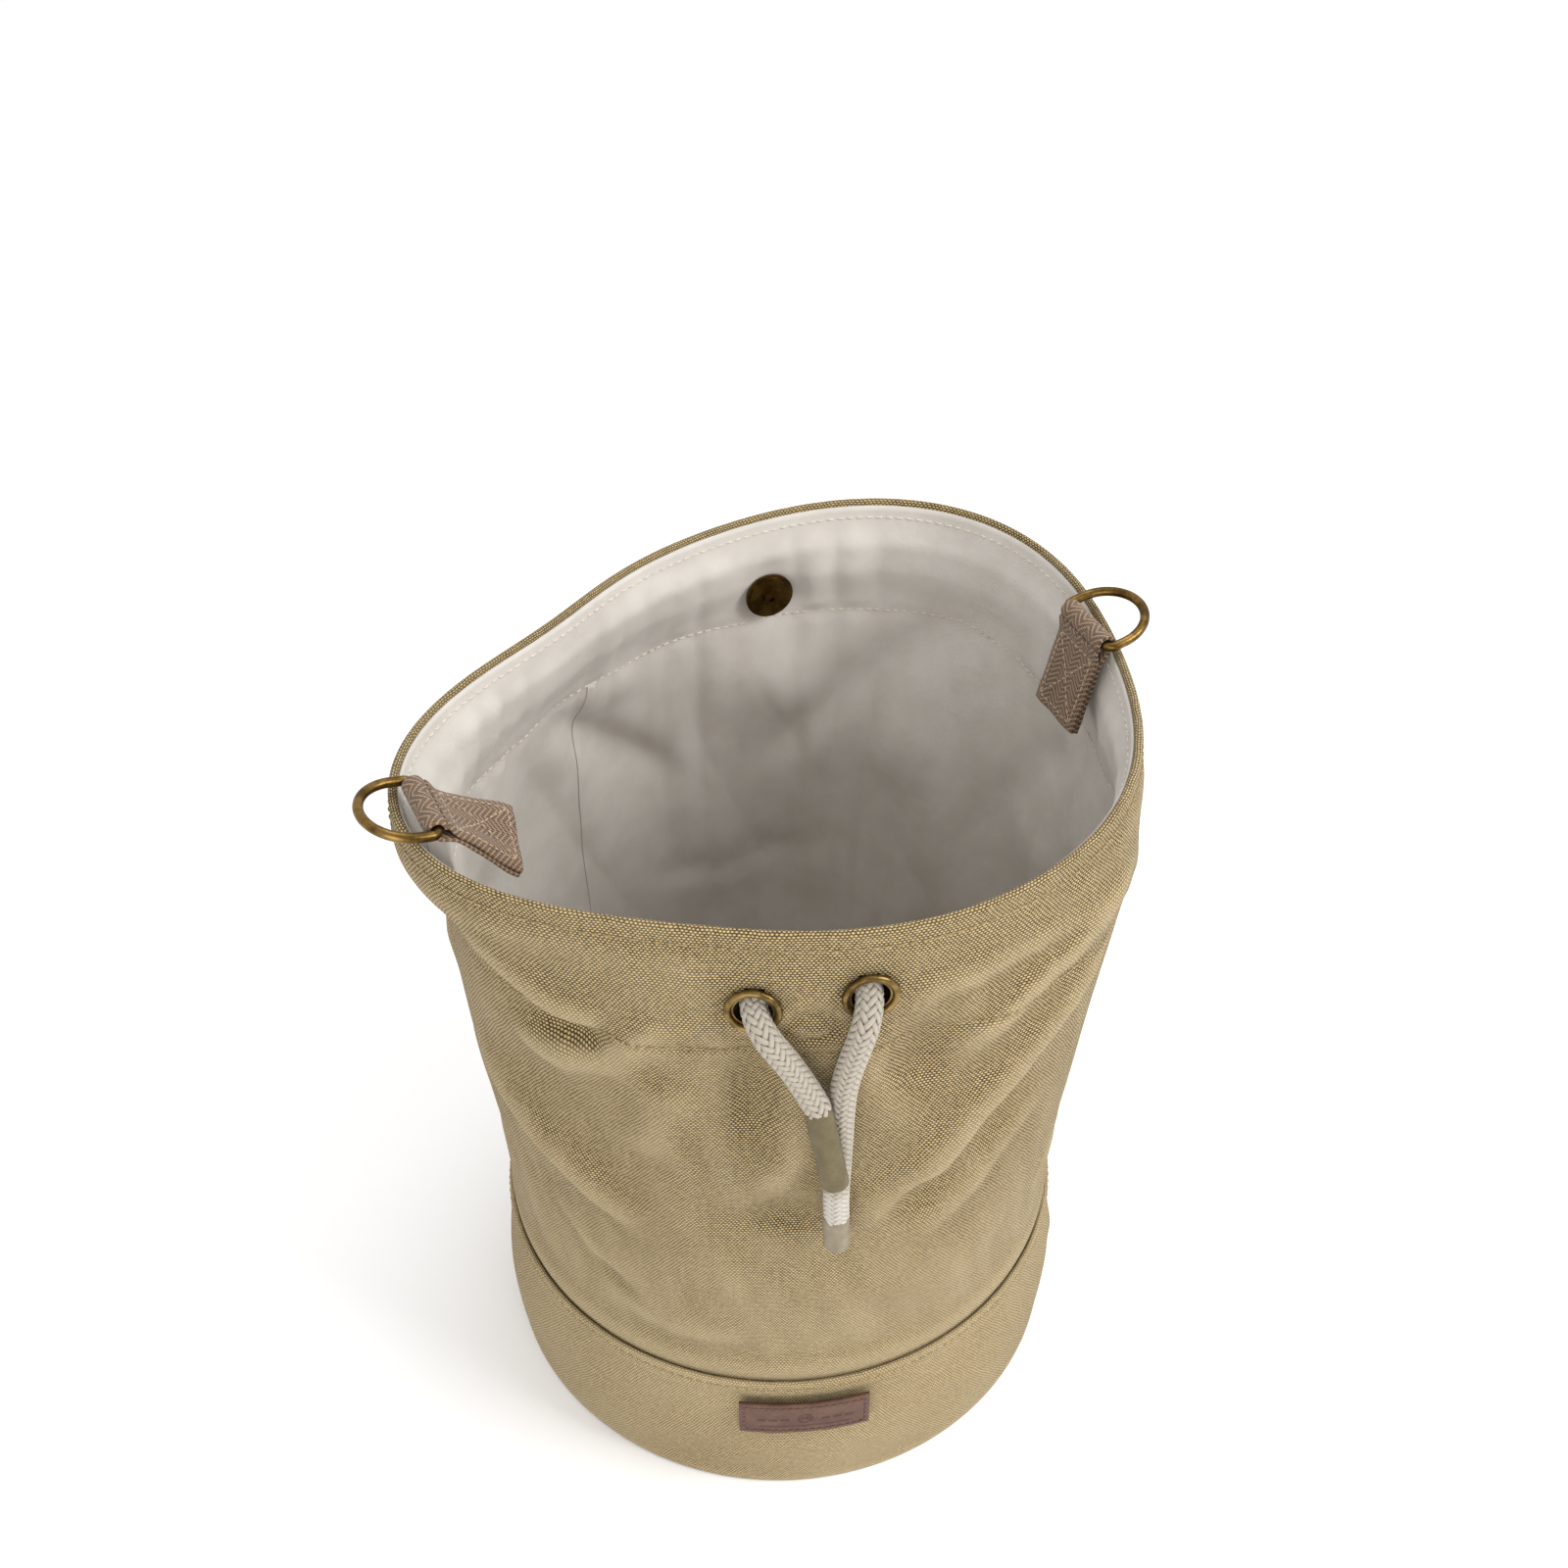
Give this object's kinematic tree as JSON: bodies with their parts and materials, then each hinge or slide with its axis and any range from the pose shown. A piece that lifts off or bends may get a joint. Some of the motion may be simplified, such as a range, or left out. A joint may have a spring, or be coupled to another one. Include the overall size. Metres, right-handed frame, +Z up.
{
  "type": "knitting bag",
  "caption": "Round drawstring canvas bucket bag with cotton lining, strap rings on webbing tabs and a magnetic snap, for knitting work.",
  "frame": {"origin": "centre of the base's underside, on the ground", "axes": "+Z up, front (eyelets and label) towards -Y, +X to the right seen from the front"},
  "size_m": [0.268, 0.2585, 0.3143],
  "materials": {
    "canvas": "washed heavy plain-weave cotton canvas, matte",
    "band_canvas": "washed heavy plain-weave cotton canvas, matte",
    "board": "stiffening board, matte",
    "cotton": "fine off-white cotton, matte",
    "light_thread": "spun thread",
    "canvas_thread": "spun thread",
    "brown_thread": "spun thread",
    "antique_brass": "antiqued, worn brighter along the edges",
    "cord": "braided natural cotton",
    "dipped_end": "satin dipped coating",
    "webbing": "ribbed cotton webbing",
    "magnet": "sintered magnet, matte",
    "leather": "pressed leather, satin"
  },
  "bodies": {
    "bag": {"upper_canvas": "canvas", "upper_back_seam": "canvas", "lower_band": "band_canvas", "band_back_seam": "band_canvas", "base_canvas": "band_canvas", "base_board": "board", "lining_wall": "cotton", "lining_seam": "cotton", "lining_base": "cotton", "rim_stitch": "light_thread", "channel_stitch": "light_thread", "band_stitch": "canvas_thread", "eyelet_left": "antique_brass", "eyelet_right": "antique_brass", "eyelet_washer_left": "antique_brass", "eyelet_washer_right": "antique_brass", "drawcord_run": "cord", "cord_left": "cord", "cord_right": "cord", "cord_tip_left": "dipped_end", "cord_tip_right": "dipped_end", "tab_left": "webbing", "tab_right": "webbing", "tab_stitch_left": "light_thread", "tab_stitch_right": "light_thread", "snap_disc": "antique_brass", "snap_back_washer": "antique_brass", "snap_socket": "antique_brass", "snap_magnet": "magnet", "snap_front_washer": "antique_brass", "label": "leather", "label_stitch": "brown_thread"},
    "d_ring_left": {"d_ring_left": "antique_brass"},
    "d_ring_right": {"d_ring_right": "antique_brass"}
  },
  "joints": [
    {"name": "d_ring_left_swing", "type": "hinge", "parent": "bag", "child": "d_ring_left", "pos_m": [-0.11476, -0.05351, 0.308], "axis": [-0.3584, 0.9336, 0], "range_deg": [0, 180]},
    {"name": "d_ring_right_swing", "type": "hinge", "parent": "bag", "child": "d_ring_right", "pos_m": [0.1103, 0.02344, 0.308], "axis": [0.3256, -0.9455, 0], "range_deg": [0, 210]}
  ]
}
